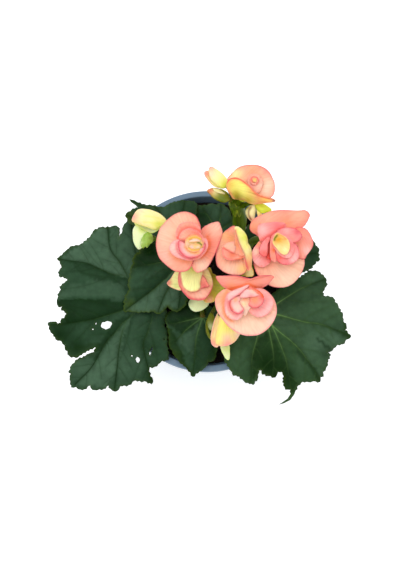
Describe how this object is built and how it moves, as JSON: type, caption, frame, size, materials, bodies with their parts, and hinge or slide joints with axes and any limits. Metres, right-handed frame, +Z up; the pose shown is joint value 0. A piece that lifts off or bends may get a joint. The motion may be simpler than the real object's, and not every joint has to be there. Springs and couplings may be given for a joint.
{
  "type": "potted begonia",
  "caption": "Double-flowered begonia in a round plastic nursery pot, with broad cut-edged leaves, rosette blooms and closed buds above dark soil.",
  "frame": {"origin": "middle of the pot's flat base", "axes": "+Z up, +X to the right and +Y to the back as the plant is seen from above, with the widest leaves along X"},
  "size_m": [0.214, 0.1486, 0.1885],
  "materials": {
    "pot_plastic": "satin blue-grey polypropylene",
    "soil": "damp peat and bark crumbs with white grains",
    "stem_green": "smooth fleshy stalk with fine hairs",
    "leaf_green": "waxy blue-green blade with paler veins",
    "petal_salmon": "soft satin tepals, salmon to peach with pink rims",
    "bud_cream": "soft satin, yellow-green to cream with pink tips"
  },
  "bodies": {
    "root": {"pot": "pot_plastic", "soil": "soil", "stem_left": "stem_green", "stem_right": "stem_green", "stem_back": "stem_green", "leaf_left": "leaf_green", "leaf_middle": "leaf_green", "leaf_front": "leaf_green", "leaf_right": "leaf_green", "leaf_right_back": "leaf_green", "leaf_back_left": "leaf_green", "leaf_back": "leaf_green", "bloom_upper_left": "petal_salmon", "bloom_upper_middle": "petal_salmon", "bloom_right": "petal_salmon", "bloom_lower_middle": "petal_salmon", "bloom_back": "petal_salmon", "bloom_half_open": "petal_salmon", "bud_left_upper": "bud_cream", "bud_left_lower": "bud_cream", "bud_front": "bud_cream", "bud_front_small": "bud_cream", "bud_middle": "bud_cream", "bud_green": "bud_cream", "bud_back_upper": "bud_cream", "bud_back_lower": "bud_cream", "bud_back_right": "bud_cream"}
  },
  "joints": []
}
